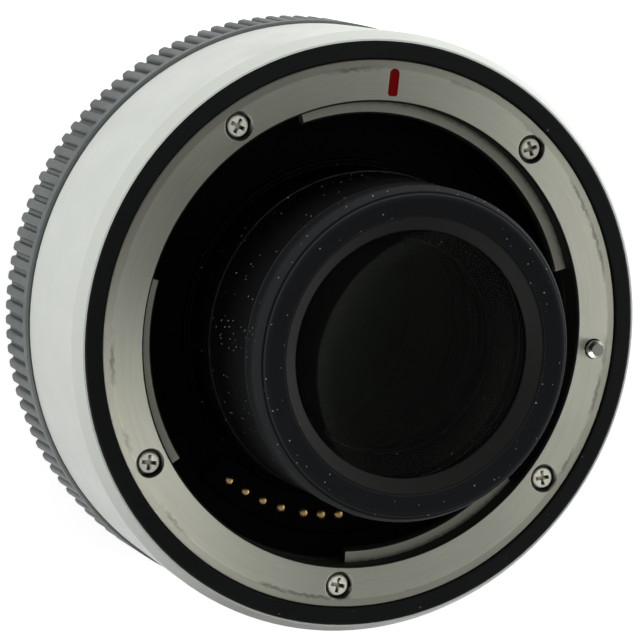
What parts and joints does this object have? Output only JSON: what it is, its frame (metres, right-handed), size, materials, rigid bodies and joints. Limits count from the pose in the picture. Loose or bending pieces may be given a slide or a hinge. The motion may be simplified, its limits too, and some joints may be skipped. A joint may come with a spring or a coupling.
{
  "type": "camera teleconverter",
  "caption": "Lens teleconverter: a short barrel with a female bayonet in front, a male bayonet behind, a tube of glass standing out of it, sprung contacts and a lock pin.",
  "frame": {"origin": "centre of the camera-side flange face", "axes": "+Z along the optical axis towards the lens, +Y towards the lens index mark, +X towards the lock pin (to the right, seen from the lens)"},
  "size_m": [0.0718, 0.0712, 0.0492],
  "materials": {
    "white_paint": "satin enamel with a fine grain",
    "mount_steel": "turned, satin",
    "spring_steel": "bright drawn",
    "screw_steel": "bright",
    "frame_alloy": "black anodised",
    "black_alloy": "black anodised, satin",
    "grip_paint": "grey satin",
    "black_plastic": "moulded, satin",
    "throat_black": "flat black",
    "index_red": "enamel fill",
    "gold": "gold plated",
    "bronze": "phosphor bronze strip",
    "rubber": "moulded",
    "glass": "coated",
    "board": "glass fibre laminate with solder resist",
    "flex": "polyimide film"
  },
  "bodies": {
    "body": {"body_shell": "white_paint", "front_mount_ring": "mount_steel", "rear_mount_ring": "mount_steel", "mount_shim": "mount_steel", "lock_pin_spring": "spring_steel", "contact_springs": "spring_steel", "front_mount_screws": "screw_steel", "rear_mount_screws": "screw_steel", "barrel_screws": "screw_steel", "board_screws": "screw_steel", "chassis": "frame_alloy", "lens_barrel": "black_alloy", "nose_ring": "black_alloy", "front_retaining_ring": "black_alloy", "optical_cell": "black_alloy", "front_spacer": "black_alloy", "rear_spacer": "black_alloy", "rear_retaining_ring": "black_alloy", "grip_ring": "grip_paint", "front_trim_ring": "black_plastic", "rear_trim_ring": "black_plastic", "board_chips": "black_plastic", "throat_liner": "throat_black", "contact_block": "throat_black", "contact_base": "throat_black", "rear_baffle": "throat_black", "rear_contact_block": "throat_black", "front_index_mark": "index_red", "rear_index_mark": "index_red", "rear_contact_pads": "gold", "bayonet_leaf_springs": "bronze", "lock_pin_bush": "bronze", "seam_band": "rubber", "rear_seal_ring": "rubber", "lens_element_1": "glass", "lens_element_2": "glass", "lens_element_3": "glass", "lens_element_4": "glass", "lens_element_5": "glass", "lens_element_6": "glass", "lens_element_7": "glass", "circuit_board": "board", "front_flex": "flex", "rear_flex": "flex"},
    "release": {"release_lever": "black_plastic", "release_arm": "spring_steel"},
    "lock_pin": {"lock_pin": "spring_steel"},
    "contacts": {"contact_pins": "gold"}
  },
  "joints": [
    {"name": "release_turn", "type": "hinge", "parent": "body", "child": "release", "pos_m": [0, 0, 0], "axis": [0, 0, 1], "range_deg": [0, 6], "stiffness_Nm_per_rad": 0.8, "springref_deg": -3.44},
    {"name": "lock_pin_slide", "type": "slide", "parent": "body", "child": "lock_pin", "axis": [0, 0, -1], "range_m": [0, 0.0015], "deforming": ["lock_pin_spring"]},
    {"name": "contact_press", "type": "slide", "parent": "body", "child": "contacts", "axis": [0, 0, -1], "range_m": [0, 0.0008], "stiffness_N_per_m": 1500, "springref_m": -0.0005, "deforming": ["contact_springs"]}
  ],
  "couplings": [
    {"joint": "lock_pin_slide", "follows": "release_turn", "m_per_rad": 0.01432}
  ]
}
